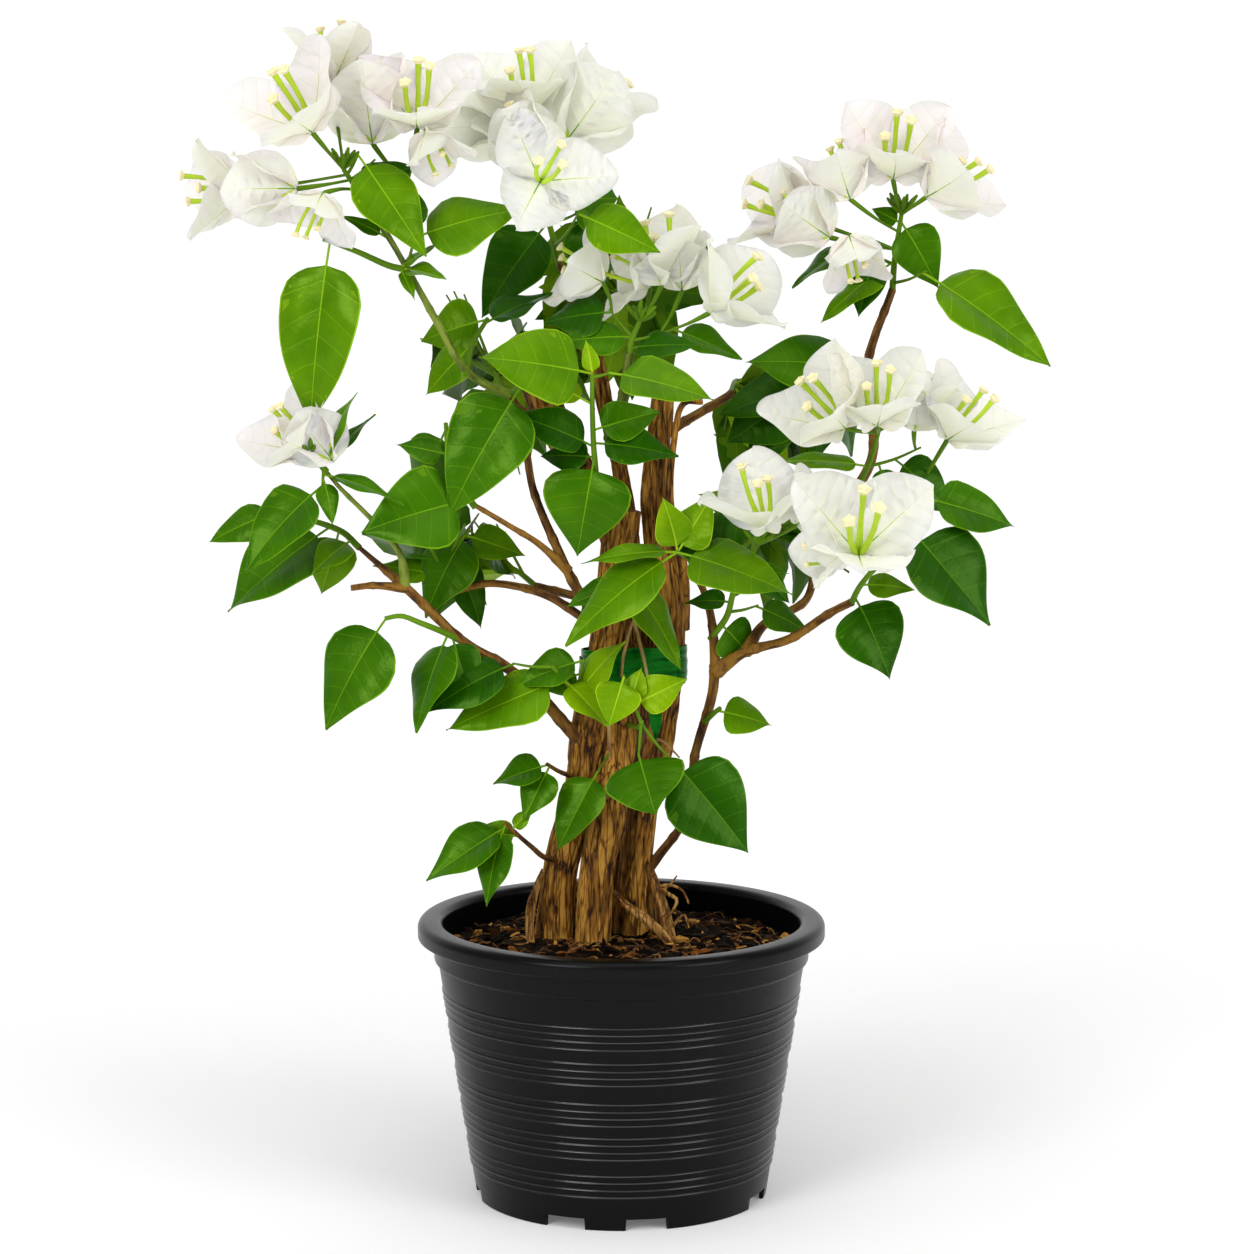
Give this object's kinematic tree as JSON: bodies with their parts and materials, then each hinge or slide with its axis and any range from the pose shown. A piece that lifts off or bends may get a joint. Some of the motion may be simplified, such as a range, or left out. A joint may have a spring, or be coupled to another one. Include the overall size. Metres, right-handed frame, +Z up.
{
  "type": "potted bougainvillea bush",
  "caption": "Potted flowering bush: woody stems tied into one trunk, arching boughs and sprays of leaves with white bracts, in a round ribbed nursery pot full of soil.",
  "frame": {"origin": "on the floor under the pot's foot, on the pot's axis, which is also the middle of the plant's spread to within 3 mm", "axes": "+Z up along the trunk, -Y towards the front that the picture shows, +X to the right of that view"},
  "size_m": [0.4191, 0.2925, 0.577],
  "materials": {
    "pot": "satin",
    "soil": "rough",
    "bark": "rough",
    "green_shoot": "satin",
    "foliage": "satin",
    "tie_band": "gloss"
  },
  "bodies": {
    "root": {"bough_back_left": "bark", "bough_back_low_left": "bark", "bough_back_low_right": "bark", "bough_back_right": "bark", "bough_back_top": "bark", "bough_left_high": "bark", "bough_left_low": "bark", "bough_left_middle": "bark", "bough_left_outer": "bark", "bough_left_stub": "bark", "bough_left_twig": "bark", "bough_right_high": "bark", "bough_right_low": "bark", "bough_right_slender": "bark", "bough_top_left": "bark", "bough_top_middle": "bark", "foliage_back_left": "foliage", "foliage_back_low_left": "foliage", "foliage_back_low_right": "foliage", "foliage_back_right": "foliage", "foliage_back_top": "foliage", "foliage_centre_right": "foliage", "foliage_centre_shoot": "foliage", "foliage_front_high": "foliage", "foliage_front_low": "foliage", "foliage_front_middle": "foliage", "foliage_hanging_left": "foliage", "foliage_left_behind": "foliage", "foliage_left_flower": "foliage", "foliage_left_low_back": "foliage", "foliage_left_low_front": "foliage", "foliage_left_middle": "foliage", "foliage_left_outer": "foliage", "foliage_left_upper": "foliage", "foliage_low_left": "foliage", "foliage_low_middle": "foliage", "foliage_middle_left": "foliage", "foliage_right_behind": "foliage", "foliage_right_front": "foliage", "foliage_right_high": "foliage", "foliage_right_small": "foliage", "foliage_top_far_left": "foliage", "foliage_top_far_right": "foliage", "foliage_top_left": "foliage", "foliage_top_middle": "foliage", "pot": "pot", "shoot_left_high": "green_shoot", "shoot_left_outer": "green_shoot", "soil": "soil", "stem_back": "bark", "stem_centre": "bark", "stem_left": "bark", "stem_right": "bark", "stem_side": "bark", "tie_band": "tie_band"}
  },
  "joints": []
}
